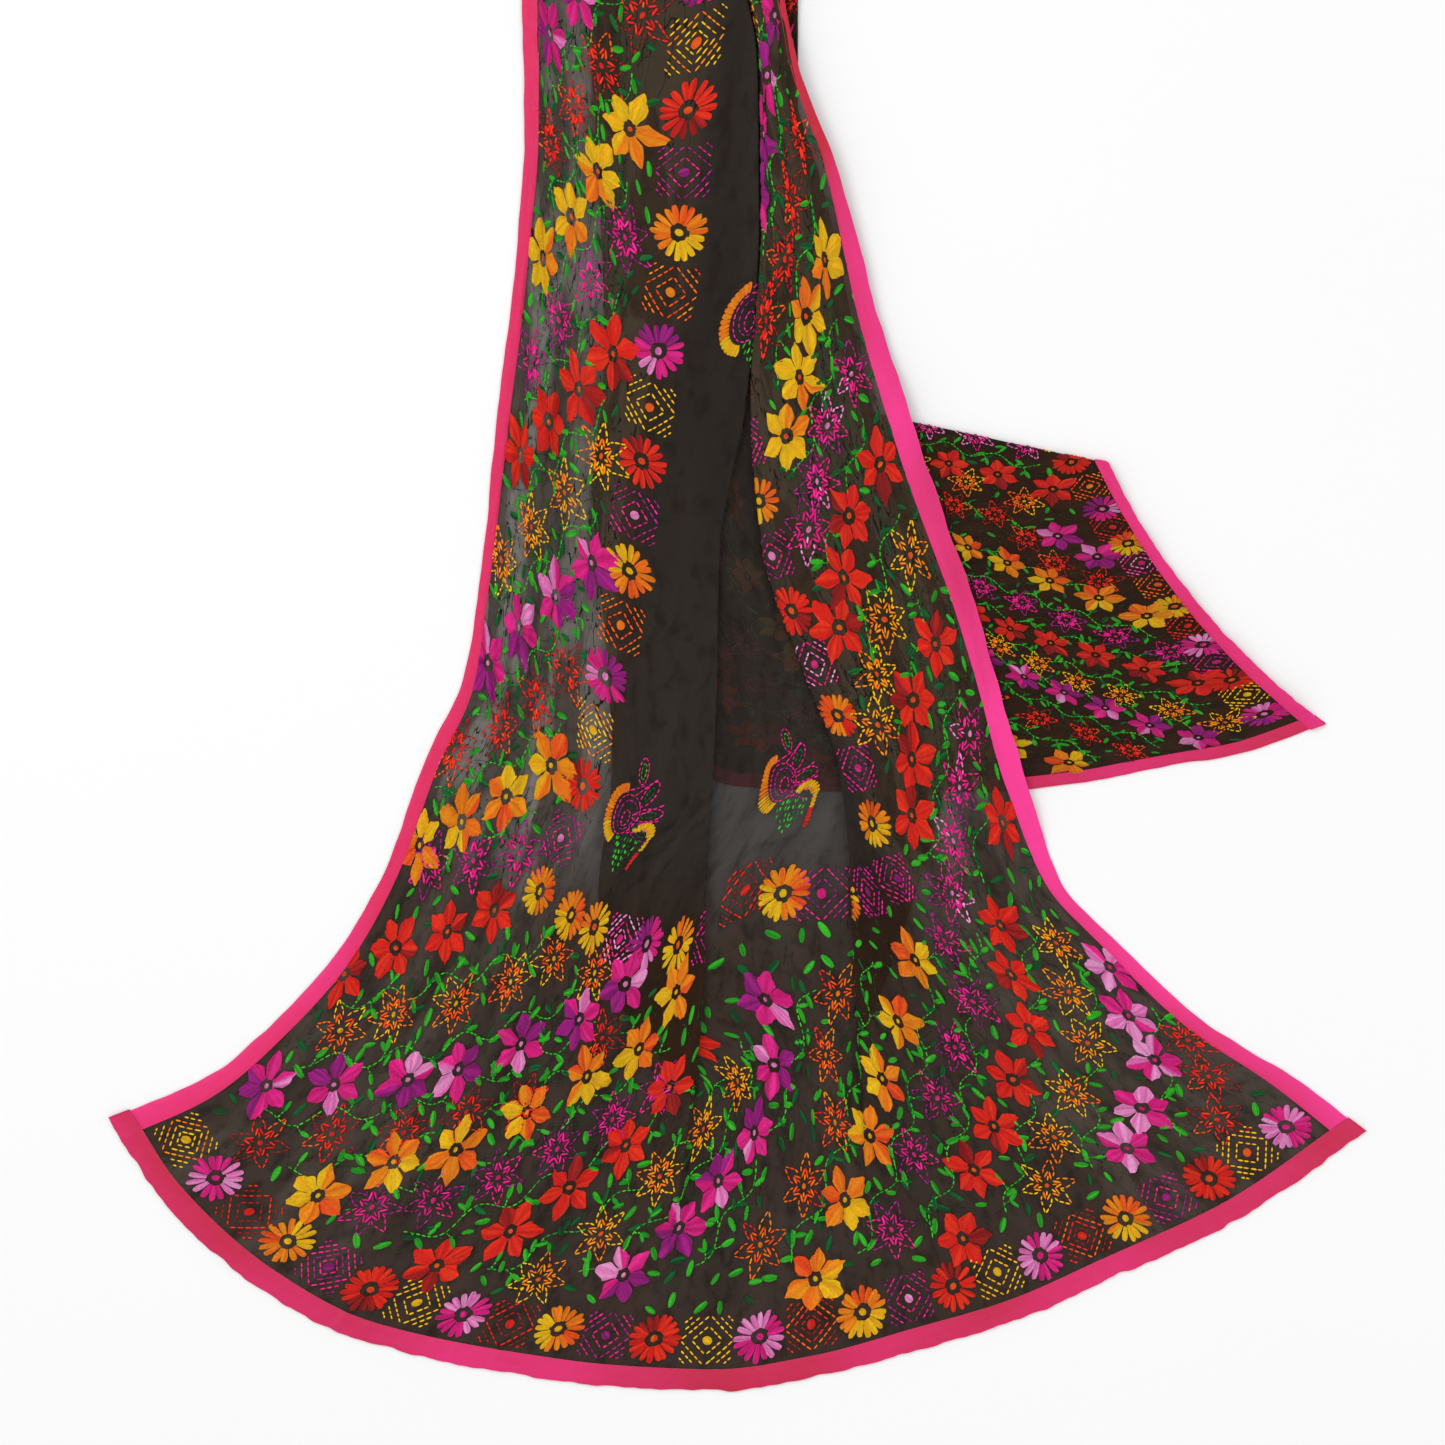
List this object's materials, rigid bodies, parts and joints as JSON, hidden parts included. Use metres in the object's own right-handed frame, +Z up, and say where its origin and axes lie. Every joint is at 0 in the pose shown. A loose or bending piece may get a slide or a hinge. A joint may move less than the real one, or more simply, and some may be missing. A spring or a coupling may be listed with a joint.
{
  "type": "phulkari shawl",
  "caption": "Long sheer shawl folded end over end and gathered at the fold, its front end fanned out, with a plain bound edge all round.",
  "frame": {"origin": "centre of the bounding box, on the surface that the shawl lies on", "axes": "+X to the right across the front end, +Y from the front end to the folded top, +Z up from the surface"},
  "size_m": [0.832, 1.2574, 0.017],
  "materials": {
    "body_cloth": "sheer black cotton and silk voile with bright silk embroidery",
    "binding_cloth": "plain pink satin, folded over the raw edges"
  },
  "bodies": {
    "root": {"body_front": "body_cloth", "body_back": "body_cloth", "binding_hem_front": "binding_cloth", "binding_left_front": "binding_cloth", "binding_right_front": "binding_cloth", "binding_long_back": "binding_cloth", "binding_hem_back": "binding_cloth"}
  },
  "joints": []
}
